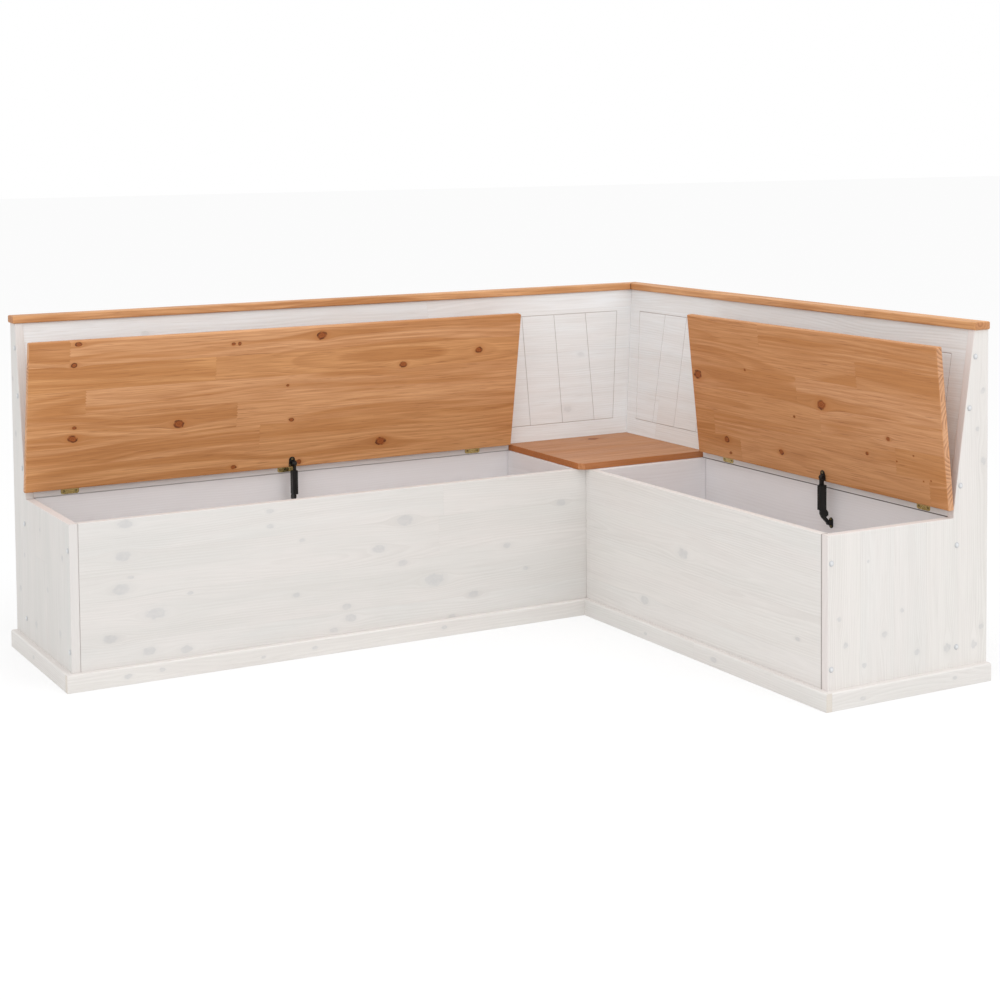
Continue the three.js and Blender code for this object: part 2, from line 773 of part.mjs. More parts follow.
const lowestBackCap = seatTop + backCapAboveSeat;
const highestBackCap = topRailUnderside - backCapBelowRail;
const middleBackCap = THREE.MathUtils.lerp(lowestBackCap, highestBackCap, middleBackCapShare);
const backCaps = [lowestBackCap, middleBackCap, highestBackCap];
const boxCaps = [boxCapAboveFloor, boxTop - boxCapBelowTop];
const capPlaces = [
  ...backCaps.map((height) => [backMiddleAt(height), height]),
  ...boxCaps.map((height) => [boxBackFront - boxBackThickness / 2, height]),
  ...boxCaps.map((height) => [legDepth - frontThickness / 2, height]),
];
addCaps("right", shortLeg, shortLegLength, 1, capPlaces);
addCaps("left", longLeg, 0, -1, capPlaces);

export default bench;
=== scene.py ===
import json
import math

import bmesh
import bpy
from mathutils import Euler, Matrix, Vector


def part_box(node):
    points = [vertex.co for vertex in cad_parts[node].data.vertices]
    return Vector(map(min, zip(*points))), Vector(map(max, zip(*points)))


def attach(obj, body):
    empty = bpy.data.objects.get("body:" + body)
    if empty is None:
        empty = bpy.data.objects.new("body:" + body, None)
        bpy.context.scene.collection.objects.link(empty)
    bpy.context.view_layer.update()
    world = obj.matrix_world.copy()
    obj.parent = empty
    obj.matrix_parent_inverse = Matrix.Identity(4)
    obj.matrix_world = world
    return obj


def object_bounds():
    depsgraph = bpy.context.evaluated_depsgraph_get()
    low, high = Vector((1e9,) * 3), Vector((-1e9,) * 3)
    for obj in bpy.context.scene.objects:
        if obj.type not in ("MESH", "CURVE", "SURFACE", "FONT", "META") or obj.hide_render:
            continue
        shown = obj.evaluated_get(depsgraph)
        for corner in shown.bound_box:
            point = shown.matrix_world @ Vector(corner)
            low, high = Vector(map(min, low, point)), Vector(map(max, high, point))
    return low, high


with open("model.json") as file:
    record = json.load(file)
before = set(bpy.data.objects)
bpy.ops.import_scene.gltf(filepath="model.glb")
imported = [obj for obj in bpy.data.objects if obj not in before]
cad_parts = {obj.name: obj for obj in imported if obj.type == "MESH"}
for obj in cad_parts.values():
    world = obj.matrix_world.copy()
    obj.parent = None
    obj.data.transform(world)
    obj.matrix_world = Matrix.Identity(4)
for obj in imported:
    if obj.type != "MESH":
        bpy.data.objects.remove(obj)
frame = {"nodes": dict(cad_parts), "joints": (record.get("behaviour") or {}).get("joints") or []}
cad_low, cad_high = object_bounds()

# Camera: it stands to the left in front of the long leg, a little above the back.
# Its optical centre lies above the middle of the picture, as in the photograph, which
# keeps the upright edges nearly parallel.
picture_side = 1000
focal_length_pixels = 1901.1
optical_centre_row = 250
film_width = 36
camera_place = Vector((-2.2452, -4.1170, 1.3101))
camera_turn = math.radians(29.29)
camera_tilt = math.radians(3.37)
camera_roll = math.radians(-0.50)

camera_data = bpy.data.cameras.new("camera")
camera_data.sensor_width = film_width
camera_data.lens = focal_length_pixels / picture_side * film_width
camera_data.shift_y = optical_centre_row / picture_side - 0.5
camera = bpy.data.objects.new("camera", camera_data)
camera.location = camera_place
level_aim = Euler((math.pi / 2 - camera_tilt, 0, -camera_turn)).to_matrix()
camera.rotation_euler = (level_aim @ Matrix.Rotation(camera_roll, 3, "Z")).to_euler()
bpy.context.scene.collection.objects.link(camera)
bpy.context.scene.camera = camera
bpy.context.scene.view_settings.view_transform = "Standard"


# Studio light: a pale room all round and four broad soft lamps, from the front, both
# sides and above. The camera and every reflection see the room as white.
def feed(tree, made, feeds):
    """Links or sets a node's inputs in order. None leaves an input as it is."""
    for index, value in enumerate(feeds):
        if isinstance(value, bpy.types.NodeSocket):
            tree.links.new(value, made.inputs[index])
        elif value is not None:
            made.inputs[index].default_value = value


def add_node(tree, kind, *feeds, **settings):
    """A shader node with its options set and its inputs fed in order."""
    made = tree.nodes.new("ShaderNode" + kind)
    for name, value in settings.items():
        setattr(made, name, value)
    feed(tree, made, feeds)
    return made


def reckon(tree, operation, *feeds):
    return add_node(tree, "Math", *feeds, operation=operation).outputs[0]


white = (1, 1, 1, 1)
room_strength = 0.93

world = bpy.data.worlds.new("studio")
world.use_nodes = True
bpy.context.scene.world = world
room = world.node_tree
room.nodes.clear()
seen = add_node(room, "LightPath")
seen_direct = reckon(room, "MAXIMUM", seen.outputs["Is Camera Ray"], seen.outputs["Is Glossy Ray"])
seen_at_all = reckon(room, "MAXIMUM", seen_direct, seen.outputs["Is Transmission Ray"])
lighting = add_node(room, "Background", white, room_strength)
backdrop = add_node(room, "Background", white, 1.0)
room_mix = add_node(room, "MixShader", seen_at_all, lighting.outputs[0], backdrop.outputs[0])
add_node(room, "OutputWorld", room_mix.outputs[0])

bench_middle = (cad_low + cad_high) / 2
for lamp_name, lamp_place, lamp_side, lamp_watts, lamp_colour in (
    ("key_lamp", (2.6, -5.2, 3.4), 3.0, 38, (1.0, 0.99, 0.98)),
    ("fill_lamp", (-5.0, -3.2, 2.6), 3.0, 30, (0.99, 0.995, 1.0)),
    ("front_lamp", (-2.4, -6.5, 1.8), 4.0, 6, (1.0, 1.0, 1.0)),
    ("top_lamp", (-0.2, -1.6, 4.6), 3.0, 45, (1.0, 1.0, 1.0)),
):
    lamp_data = bpy.data.lights.new(lamp_name, "AREA")
    lamp_data.shape = "SQUARE"
    lamp_data.size = lamp_side
    lamp_data.energy = lamp_watts
    lamp_data.color = lamp_colour
    lamp = bpy.data.objects.new(lamp_name, lamp_data)
    lamp.location = lamp_place
    lamp.rotation_euler = (bench_middle - Vector(lamp_place)).to_track_quat("-Z", "Y").to_euler()
    bpy.context.scene.collection.objects.link(lamp)

# Floor: a wide pale studio floor that carries the bench's soft shadow. To the camera it
# adds enough light of its own to run into the white room with hardly an edge.
floor_reach = 40
floor_drop = 0.0004
floor_bounce = (0.80, 0.80, 0.80, 1)
floor_catch = (0.34, 0.34, 0.34, 1)
floor_glow = 0.65

floor_material = bpy.data.materials.new("studio_floor")
floor_material.use_nodes = True
floor_tree = floor_material.node_tree
floor_tree.nodes.clear()
floor_seen = add_node(floor_tree, "LightPath").outputs["Is Camera Ray"]
plain_floor = add_node(floor_tree, "BsdfDiffuse", floor_bounce).outputs[0]
shadow_floor = add_node(floor_tree, "BsdfDiffuse", floor_catch).outputs[0]
glow = add_node(floor_tree, "Emission", white, floor_glow).outputs[0]
shown_floor = add_node(floor_tree, "AddShader", shadow_floor, glow).outputs[0]
floor_pick = add_node(floor_tree, "MixShader", floor_seen, plain_floor, shown_floor)
add_node(floor_tree, "OutputMaterial", floor_pick.outputs[0])

floor_mesh = bpy.data.meshes.new("studio_floor")
floor_shape = bmesh.new()
bmesh.ops.create_grid(floor_shape, x_segments=1, y_segments=1, size=floor_reach)
bmesh.ops.translate(floor_shape, vec=(0, 0, -floor_drop), verts=floor_shape.verts)
floor_shape.to_mesh(floor_mesh)
floor_shape.free()
floor_mesh.materials.append(floor_material)
floor_object = bpy.data.objects.new("studio_floor", floor_mesh)
bpy.context.scene.collection.objects.link(floor_object)


# White cheeks of the bench: both end panels are glued up from upright pine staves and
# stained white, so that the grain shows faintly and the knots come through blue-grey.
# Their narrow edges took the stain thinner and look a little pink. The left cheek's
# colour is painted darker, as painted shade.
def start_group(name, inputs, outputs):
    """A node group with its sockets made, what it is given and what it gives back."""
    tree = bpy.data.node_groups.new(name, "ShaderNodeTree")
    for label, kind, default in inputs:
        made = tree.interface.new_socket(
            name=label, in_out="INPUT", socket_type="NodeSocket" + kind
        )
        if default is not None:
            made.default_value = default
    for label, kind in outputs:
        tree.interface.new_socket(name=label, in_out="OUTPUT", socket_type="NodeSocket" + kind)
    given = tree.nodes.new("NodeGroupInput").outputs
    result = tree.nodes.new("NodeGroupOutput").inputs
    return tree, given, result


def use_group(tree, group, *feeds):
    made = tree.nodes.new("ShaderNodeGroup")
    made.node_tree = group
    feed(tree, made, feeds)
    return made.outputs


def smooth(tree, value, low, high):
    """0 below low, 1 above high and a soft step between them."""
    step = add_node(tree, "MapRange", value, low, high, 0, 1, interpolation_type="SMOOTHSTEP")
    return step.outputs[0]


def fade(tree, value, low, high):
    """1 below low, 0 above high and a soft step between them."""
    return reckon(tree, "SUBTRACT", 1, smooth(tree, value, low, high))


def off_middle(tree, value):
    return reckon(tree, "SUBTRACT", value, 0.5)


def reckon_vector(tree, operation, *feeds):
    return add_node(tree, "VectorMath", *feeds, operation=operation).outputs[0]


def reach_along(tree, vector, direction):
    """How far a vector reaches along a direction."""
    return add_node(
        tree, "VectorMath", vector, direction, operation="DOT_PRODUCT"
    ).outputs["Value"]


def parts_of(tree, vector):
    return add_node(tree, "SeparateXYZ", vector).outputs


def cloudy(tree, vector, detail=2.0):
    """Soft noise from 0 to 1 whose lumps are about one unit wide."""
    return add_node(tree, "TexNoise", vector, None, 1.0, detail, 0.55).outputs[0]


def make_facing_group():
    """Finds the faces that look along a direction, one way only or either way."""
    tree, given, result = start_group(
        "facing",
        [
            ("Normal", "Vector", None),
            ("Direction", "Vector", (0, 0, 1)),
            ("Low", "Float", 0.75),
            ("High", "Float", 0.95),
        ],
        [("Towards", "Float"), ("Either Way", "Float")],
    )
    normal, direction, low, high = given[0:4]
    towards = reach_along(tree, normal, direction)
    tree.links.new(smooth(tree, towards, low, high), result[0])
    tree.links.new(smooth(tree, reckon(tree, "ABSOLUTE", towards), low, high), result[1])
    return tree


def make_tear_group():
    """Fine unevenness that tears the outline of knots, and the mottling inside them."""
    tree, given, result = start_group(
        "knot_tear",
        [("Vector", "Vector", None), ("Torn", "Float", 1.0)],
        [("Uneven", "Vector"), ("Mottle", "Float")],
    )
    vector, torn = given[0:2]
    lumps_per_metre = (60, 90, 0)
    stretch = (1.5, 1, 0)
    place = reckon_vector(tree, "MULTIPLY", vector, lumps_per_metre)
    noise = add_node(tree, "TexNoise", place, None, 1.0, 3.0).outputs[1]
    centred = reckon_vector(tree, "SUBTRACT", noise, (0.5, 0.5, 0.5))
    stretched = reckon_vector(tree, "MULTIPLY", centred, stretch)
    tree.links.new(reckon_vector(tree, "SCALE", stretched, None, None, torn), result[0])
    tree.links.new(smooth(tree, parts_of(tree, noise)[2], 0.36, 0.60), result[1])
    return tree


def make_knot_group():
    """Bends the grain round one knot and keeps the measure of the nearest knot so far."""
    tree, given, result = start_group(
        "knot",
        [
            ("Vector", "Vector", None),
            ("Uneven", "Vector", None),
            ("Nearest", "Float", 9.0),
            ("Place", "Vector", None),
            ("Radius", "Float", 0.01),
            ("Length", "Float", 1.3),
        ],
        [("Vector", "Vector"), ("Nearest", "Float")],
    )
    vector, uneven, nearest, place, radius, length = given[0:6]
    grain_reach = 3.4
    offset = reckon_vector(tree, "SUBTRACT", vector, place)
    away = parts_of(tree, offset)
    here = parts_of(tree, vector)
    across_square = reckon(tree, "MULTIPLY", away[1], away[1])
    far_along = reckon(tree, "DIVIDE", away[0], grain_reach)
    reach_square = reckon(tree, "MULTIPLY_ADD", far_along, far_along, across_square)
    radius_square = reckon(tree, "MULTIPLY", radius, radius)
    safe_square = reckon(tree, "MAXIMUM", reach_square, radius_square)
    bend = reckon(tree, "DIVIDE", radius_square, safe_square)
    moved = reckon(tree, "MULTIPLY", away[1], bend)
    bent_across = reckon(tree, "SUBTRACT", here[1], moved)
    bent = add_node(tree, "CombineXYZ", here[0], bent_across, here[2]).outputs[0]

    torn = reckon_vector(tree, "SCALE", uneven, None, None, radius)
    rough = parts_of(tree, reckon_vector(tree, "ADD", offset, torn))
    oval_along = reckon(tree, "DIVIDE", rough[0], length)
    rough_square = reckon(tree, "MULTIPLY", rough[1], rough[1])
    oval_square = reckon(tree, "MULTIPLY_ADD", oval_along, oval_along, rough_square)
    distance = reckon(tree, "DIVIDE", reckon(tree, "SQRT", oval_square), radius)
    tree.links.new(bent, result[0])
    tree.links.new(reckon(tree, "MINIMUM", nearest, distance), result[1])
    return tree


def make_pine_group():
    """Figure of a board glued up from staves: tone, rings, fibres, pores and glue lines."""
    tree, given, result = start_group(
        "pine_figure",
        [
            ("Vector", "Vector", None),
            ("Stave Width", "Float", 0.07),
            ("Piece Length", "Float", 0.5),
            ("Ring Width", "Float", 0.006),
            ("Seed", "Float", 0.0),
        ],
        [
            ("Tone", "Float"),
            ("Rings", "Float"),
            ("Bands", "Float"),
            ("Fibre", "Float"),
            ("Flecks", "Float"),
            ("Joint", "Float"),
            ("Cloud", "Float"),
        ],
    )
    vector, stave_width, piece_length, ring_width, seed = given[0:5]

    # The stave and the piece of it that a point lies in. Pieces end in short fingers.
    finger_pitch = 0.0040
    stagger_pieces = 5.0
    at = parts_of(tree, vector)
    row = reckon(tree, "DIVIDE", at[1], stave_width)
    stave = reckon(tree, "FLOOR", row)
    stave_share = off_middle(tree, reckon(tree, "FRACT", row))
    stave_name = add_node(tree, "CombineXYZ", stave, seed, 0).outputs[0]
    stagger = add_node(tree, "TexWhiteNoise", stave_name, noise_dimensions="2D").outputs[0]
    fingers = reckon(tree, "PINGPONG", at[1], finger_pitch)
    pieces_along = reckon(tree, "DIVIDE", reckon(tree, "ADD", at[0], fingers), piece_length)
    run = reckon(tree, "MULTIPLY_ADD", stagger, stagger_pieces, pieces_along)
    piece = reckon(tree, "FLOOR", run)
    piece_share = off_middle(tree, reckon(tree, "FRACT", run))
    piece_name = add_node(tree, "CombineXYZ", stave, piece, seed).outputs[0]
    dice = add_node(tree, "TexWhiteNoise", piece_name, noise_dimensions="3D").outputs[1]
    draw = add_node(tree, "SeparateColor", dice).outputs
    stave_step, piece_step = 7.3, 3.7
    stave_seed = reckon(tree, "MULTIPLY_ADD", stave, stave_step, seed)
    piece_seed = reckon(tree, "MULTIPLY_ADD", piece, piece_step, stave_seed)
    seeded = add_node(tree, "CombineXYZ", seed, piece_seed, seed).outputs[0]

    def lumps(per_metre, detail=2.0):
        """Noise with so many lumps per metre along, across and through the board."""
        place = reckon_vector(tree, "MULTIPLY", vector, per_metre)
        return cloudy(tree, reckon_vector(tree, "ADD", place, seeded), detail)

    # Growth rings are cylinders round a pith, which lies beside and below the stave and
    # wanders as it runs on. Late wood darkens each ring and then stops short.
    wander_per_metre = 1.2
    pith_staves = 1.6
    pith_lean = 0.08
    pith_depth = 0.040
    pith_dip = 0.09
    ripple_height = 0.0028
    wander_run = reckon(tree, "MULTIPLY", at[0], wander_per_metre)
    wander_place = add_node(tree, "CombineXYZ", wander_run, piece_seed, 0).outputs[0]
    wander_noise = add_node(tree, "TexNoise", wander_place, None, 1.0, 1.5).outputs[1]
    wander = add_node(tree, "SeparateColor", wander_noise).outputs
    lean = reckon(tree, "MULTIPLY", off_middle(tree, wander[1]), pith_lean)
    pith_share = reckon(tree, "MULTIPLY", off_middle(tree, draw[0]), pith_staves)
    pith_side = reckon(tree, "MULTIPLY_ADD", pith_share, stave_width, lean)
    local = reckon(tree, "MULTIPLY", stave_share, stave_width)
    sideways = reckon(tree, "SUBTRACT", local, pith_side)
    below = reckon(tree, "MULTIPLY_ADD", draw[1], pith_depth, at[2])
    depth = reckon(tree, "MULTIPLY_ADD", off_middle(tree, wander[0]), pith_dip, below)
    side_square = reckon(tree, "MULTIPLY", sideways, sideways)
    radius_square = reckon(tree, "MULTIPLY_ADD", depth, depth, side_square)
    ripple = reckon(tree, "MULTIPLY", off_middle(tree, lumps((2.5, 28, 28))), ripple_height)
    radius = reckon(tree, "ADD", reckon(tree, "SQRT", radius_square), ripple)
    turn = reckon(tree, "FRACT", reckon(tree, "DIVIDE", radius, ring_width))
    swell, stop = smooth(tree, turn, 0.15, 0.85), fade(tree, turn, 0.88, 1.0)
    strength = smooth(tree, lumps((1.7, 22, 22)), 0.25, 0.72)
    rings = reckon(tree, "MULTIPLY", reckon(tree, "MULTIPLY", swell, stop), strength)

    bands_per_metre = 52
    bands_drift = 1.3
    band_row = reckon(tree, "MULTIPLY", radius, bands_per_metre)
    band_run = reckon(tree, "MULTIPLY", at[0], bands_drift)
    band_place = add_node(tree, "CombineXYZ", band_row, piece_seed, band_run).outputs[0]
    bands = smooth(tree, cloudy(tree, band_place, 2.5), 0.46, 0.62)

    fibre = smooth(tree, lumps((7, 280, 280), 3.0), 0.3, 0.75)
    flecks = smooth(tree, lumps((13, 400, 400)), 0.60, 0.74)
    cloud = smooth(tree, lumps((2.6, 13, 13), 3.0), 0.3, 0.7)

    glue_line = 0.0008

    def edge_of(share, length):
        """Finds the glue line at both ends of a length, where share is -0.5 and 0.5."""
        start = reckon(tree, "SUBTRACT", 0.5, reckon(tree, "DIVIDE", glue_line, length))
        return smooth(tree, reckon(tree, "ABSOLUTE", share), start, 0.5)

    side_joint = edge_of(stave_share, stave_width)
    joint = reckon(tree, "MAXIMUM", side_joint, edge_of(piece_share, piece_length))

    for index, value in enumerate((draw[2], rings, bands, fibre, flecks, joint, cloud)):
        tree.links.new(value, result[index])
    return tree


facing_group = make_facing_group()
tear_group = make_tear_group()
knot_group = make_knot_group()
pine_group = make_pine_group()


def facing(tree, direction, way="Either Way", low=0.75, high=0.95):
    normal = add_node(tree, "TexCoord").outputs["Normal"]
    return use_group(tree, facing_group, normal, direction, low, high)[way]


def board_figure(
    tree, board, staves, pieces, ring_width, seed, knots=(), knot_length=1.3, torn=1.0
):
    """Gives a board its pine figure. A board is a corner and the ways along and across it.

    A knot is its place along and across the board and its radius, in millimetres.
    """
    corner, along, across = board
    turn = Matrix((along, across, along.cross(across)))
    place = add_node(tree, "TexCoord").outputs["Object"]
    on_board = add_node(tree, "Mapping", place)
    on_board.inputs["Rotation"].default_value = turn.to_euler()
    on_board.inputs["Location"].default_value = -(turn @ Vector(corner))
    vector = on_board.outputs[0]
    uneven, mottle = use_group(tree, tear_group, vector, torn)
    nearest = 9.0
    for knot_along, knot_across, knot_radius in knots:
        spot = (knot_along / 1000, knot_across / 1000, 0)
        radius = knot_radius / 1000
        vector, nearest = use_group(
            tree, knot_group, vector, uneven, nearest, spot, radius, knot_length
        )
    figure = use_group(tree, pine_group, vector, staves, pieces, ring_width, seed)
    return figure, nearest, mottle, facing(tree, along)


def tint(tree, share, under, over):
    """The colour under, with over laid on it by share."""
    between = [None] * 5
    return add_node(tree, "Mix", share, *between, under, over, data_type="RGBA").outputs[2]


def laid_on(tree, colour, layers):
    """The colour with layers on it. Each is a mask, how strongly it covers, and its colour."""
    for mask, strength, over in layers:
        colour = tint(tree, reckon(tree, "MULTIPLY", mask, strength), colour, over)
    return colour


def new_material(name):
    material = bpy.data.materials.new(name)
    material.use_nodes = True
    tree = material.node_tree
    tree.nodes.clear()
    shader = add_node(tree, "BsdfPrincipled")
    add_node(tree, "OutputMaterial", shader.outputs[0])
    return material, tree, shader


def rough_by(tree, shader, mask, least, most):
    """Makes the surface rougher where the mask rises from 0 to 1."""
    roughness = add_node(tree, "MapRange", mask, 0, 1, least, most).outputs[0]
    tree.links.new(roughness, shader.inputs["Roughness"])


def raise_by(tree, shader, height, strength, depth):
    """Raises the surface where height is 1, by no more than depth."""
    bump = add_node(tree, "Bump", strength, depth, None, height)
    tree.links.new(bump.outputs[0], shader.inputs["Normal"])


right = Vector((1, 0, 0))
back = Vector((0, 1, 0))
up = Vector((0, 0, 1))

white_stain = (0.800, 0.775, 0.742, 1)
white_stain_cool = (0.750, 0.752, 0.738, 1)
white_stain_warm = (0.806, 0.760, 0.735, 1)
grain_under_white = (0.600, 0.570, 0.540, 1)
knot_under_white = (0.490, 0.496, 0.508, 1)
sawn_edge = (0.760, 0.690, 0.670, 1)
bare_end_grain = (0.690, 0.610, 0.510, 1)
white_ring_width = 0.0058
white_knot_torn = 1.1
whole_piece = 3.5


def white_pine(
    name, board, staves, seed, knots=(), base=white_stain, grain=0.26, knot_strength=0.36,
    end_colour=sawn_edge, knot_length=1.7,
):
    material, tree, shader = new_material(name)
    figure, nearest, mottle, end_grain = board_figure(
        tree, board, staves, whole_piece, white_ring_width, seed, knots, knot_length,
        white_knot_torn,
    )
    rings, fibre = figure["Rings"], figure["Fibre"]
    colour = laid_on(tree, base, (
        (figure["Tone"], 0.42, white_stain_cool),
        (figure["Cloud"], 0.50, white_stain_warm),
        (rings, grain, grain_under_white),
        (figure["Bands"], 0.10, grain_under_white),
        (fibre, 0.20, grain_under_white),
        (figure["Flecks"], 0.30, grain_under_white),
        (figure["Joint"], 0.40, grain_under_white),
    ))
    if knots:
        halo = fade(tree, nearest, 0.7, 2.0)
        heart = fade(tree, nearest, 0.78, 1.12)
        blotched = reckon(tree, "MULTIPLY_ADD", mottle, 0.40, 0.60)
        colour = laid_on(tree, colour, (
            (halo, 0.11, knot_under_white),
            (reckon(tree, "MULTIPLY", heart, blotched), knot_strength, knot_under_white),
        ))
    colour = laid_on(tree, colour, (
        (end_grain, 0.50, end_colour),
        (facing(tree, up, "Towards"), 0.30, sawn_edge),
    ))
    tree.links.new(colour, shader.inputs["Base Color"])
    rough_by(tree, shader, rings, 0.50, 0.66)
    raise_by(tree, shader, reckon(tree, "MULTIPLY_ADD", fibre, 0.35, rings), 0.35, 0.00035)
    return material


def lay_over(material, mask_of, strength, colour):
    """Lays a colour over a finished material, where mask_of gives 1."""
    tree = material.node_tree
    base_colour = tree.nodes["Principled BSDF"].inputs["Base Color"]
    under = base_colour.links[0].from_socket
    tree.links.new(laid_on(tree, under, ((mask_of(tree), strength, colour),)), base_colour)
    return material


def looking(direction, *choices):
    def mask(tree):
        return facing(tree, direction, *choices)
    return mask


def dress(node, material):
    mesh = frame["nodes"][node].data
    mesh.materials.clear()
    mesh.materials.append(material)


cheek_stave = 0.098
cheek_knot_length = 0.95
cheek_edge = (0.770, 0.690, 0.680, 1)
# Painted shade: the left cheek is a darker copy of the white stain.
left_cheek_shaded_base = (0.705, 0.683, 0.652, 1)
left_cheek_knots = (
    (120, 90, 8), (205, 190, 6), (310, 60, 7), (96, 300, 9), (255, 395, 6),
    (160, 440, 8), (560, 452, 8), (700, 470, 6), (345, 250, 5),
)
right_cheek_knots = (
    (153, 167, 9), (88, 107, 7), (205, 34, 6), (142, 53, 7), (202, 218, 6),
    (96, 264, 8), (131, 466, 7), (94, 359, 11), (91, 444, 10), (532, 470, 9),
    (330, 120, 4), (610, 452, 6), (700, 466, 7),
)
for side, across, seed, knots, base, edge_strength in (
    ("left", back, 3.0, left_cheek_knots, left_cheek_shaded_base, 0.20),
    ("right", right, 8.0, right_cheek_knots, white_stain, 0.45),
):
    node = side + "_end_panel"
    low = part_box(node)[0]
    cheek_white = white_pine(
        side + "_cheek_white", ((low.x, low.y, 0), up, across), cheek_stave, seed, knots, base,
        knot_length=cheek_knot_length,
    )
    dress(node, lay_over(cheek_white, looking(across), edge_strength, cheek_edge))


# Chest fronts: wide boards of level staves between the cheeks, stained the same white,
# though the long front's colour is painted darker, as painted shade.
# The two meet in the inner corner, where the short front stands against the long one.
# A narrow painted shadow lies in the seam beside each cheek.
def make_seam_group():
    """Finds a thin line on a plane, which is a direction and a distance from the origin."""
    tree, given, result = start_group(
        "seam",
        [
            ("Place", "Vector", None),
            ("Direction", "Vector", (0, 0, 1)),
            ("Distance", "Float", 0.0),
            ("Reach", "Float", 0.001),
            ("Core", "Float", 0.7),
        ],
        [("Mask", "Float")],
    )
    place, direction, distance, reach, core = given[0:5]
    offset = reckon(tree, "SUBTRACT", reach_along(tree, place, direction), distance)
    full_reach = reckon(tree, "MULTIPLY", reach, core)
    line = fade(tree, reckon(tree, "ABSOLUTE", offset), full_reach, reach)
    tree.links.new(line, result[0])
    return tree


seam_group = make_seam_group()


def seam(direction, distance, reach, core=0.7):
    def mask(tree):
        place = add_node(tree, "TexCoord").outputs["Object"]
        return use_group(tree, seam_group, place, direction, distance, reach, core)["Mask"]
    return mask


front_stave = 0.104
# Painted shade: the long front is a darker copy of the white stain.
long_front_shaded_base = (0.712, 0.693, 0.666, 1)
end_shadow = (0.260, 0.220, 0.210, 1)
long_front_knots = (
    (116, 389, 11), (109, 312, 12), (104, 233, 13), (189, 165, 15), (278, 200, 5),
    (74, 119, 11), (171, 77, 10), (265, 68, 9), (491, 378, 6), (491, 341, 6),
    (577, 296, 5), (868, 317, 14), (791, 254, 11), (860, 210, 8), (953, 154, 16),
    (709, 87, 10), (661, 65, 7), (699, 113, 8), (1004, 53, 6), (1173, 216, 7),
    (1069, 103, 9), (1343, 312, 9), (128, 250, 5), (1230, 150, 5), (560, 160, 6),
)
short_front_knots = ((465, 253, 13), (289, 98, 11), (930, 140, 5))
long_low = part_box("long_front_panel")[0]
short_low, short_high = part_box("short_front_panel")
long_front_white = white_pine(
    "long_front_white", ((long_low.x, long_low.y, 0), right, up), front_stave, 21.0,
    long_front_knots, long_front_shaded_base,
)
short_front_white = white_pine(
    "short_front_white", ((short_low.x, short_high.y, 0), -back, up), front_stave, 34.0,
    short_front_knots,
)
# Painted shadow in the narrow seams beside the cheeks.
lay_over(long_front_white, seam(right, long_low.x, 0.0016), 0.18, end_shadow)
lay_over(short_front_white, seam(back, short_low.y, 0.0030), 0.75, end_shadow)
dress("long_front_panel", long_front_white)
dress("short_front_panel", short_front_white)

# Plinth boards: pine skirting round the foot, its upper edge rounded over. The ends of
# the front boards run past the cheeks and show their bare, beige end grain.
wide_stave = 0.2
long_plinth_knots = ((150, 21, 6), (236, 24, 5), (500, 18, 4), (640, 22, 5), (1010, 24, 5))
for node, along, seed, knots in (
    ("long_front_plinth", right, 41.0, long_plinth_knots),
    ("short_front_plinth", -back, 44.0, ((603, 19, 7), (300, 16, 4))),
    ("left_end_plinth", -back, 47.0, ((210, 20, 5),)),
    ("right_end_plinth", right, 50.0, ((90, 18, 5), (370, 24, 4))),
):
    low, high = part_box(node)
    board = ((low.x, high.y if along.y < 0 else low.y, 0), along, up)
    dress(
        node,
        white_pine(node + "_white", board, wide_stave, seed, knots, end_colour=bare_end_grain),
    )

# Reclined backs: white-stained boards, cut with fine grooves that draw a frame and
# upright planks. The stain lies thinner in the grooves, and their floors are painted
# grey, partly for that stain and partly as painted shade in the recess. The boards are
# tinted cool to cancel the warm light that the honey wood bounces onto them, which is
# painted light; the rear face, which goes against the wall, is stained warmer.
back_stave = 0.125
# Cool tint that cancels warm bounced light: painted light.
back_base_cooled_against_bounce = (0.862, 0.889, 0.910, 1)
# Grey of the groove floors: thinner stain and painted shade.
groove_stain_and_shade = (0.480, 0.425, 0.410, 1)
rear_stain = (0.860, 0.830, 0.790, 1)
rear_strength = 0.55
back_foot_height = 0.4206
back_lean = 0.063 / 0.4257
long_back_knots = ((323, 380, 7), (1667, 242, 7), (1604, 84, 9), (1290, 240, 5), (820, 190, 6))
short_back_knots = ((620, 250, 7), (1010, 120, 6))


def make_groove_group():
    """Finds what lies a little behind a back's leaning face, the floor of its grooves."""
    tree, given, result = start_group(
        "groove_floor",
        [
            ("Place", "Vector", None),
            ("Direction", "Vector", (0, 1, 0)),
            ("Face at Foot", "Float", 0.0),
        ],
        [("Mask", "Float")],
    )
    place, direction, face_at_foot = given[0:3]
    rise = reckon(tree, "SUBTRACT", parts_of(tree, place)[2], back_foot_height)
    face = reckon(tree, "MULTIPLY_ADD", rise, back_lean, face_at_foot)
    depth = reckon(tree, "SUBTRACT", reach_along(tree, place, direction), face)
    inside = smooth(tree, depth, 0.0002, 0.0011)
    shallow = fade(tree, depth, 0.0032, 0.0050)
    tree.links.new(reckon(tree, "MULTIPLY", inside, shallow), result[0])
    return tree


groove_group = make_groove_group()


def groove_floor(direction, face_at_foot):
    def mask(tree):
        place = add_node(tree, "TexCoord").outputs["Object"]
        return use_group(tree, groove_group, place, direction, face_at_foot)["Mask"]
    return mask


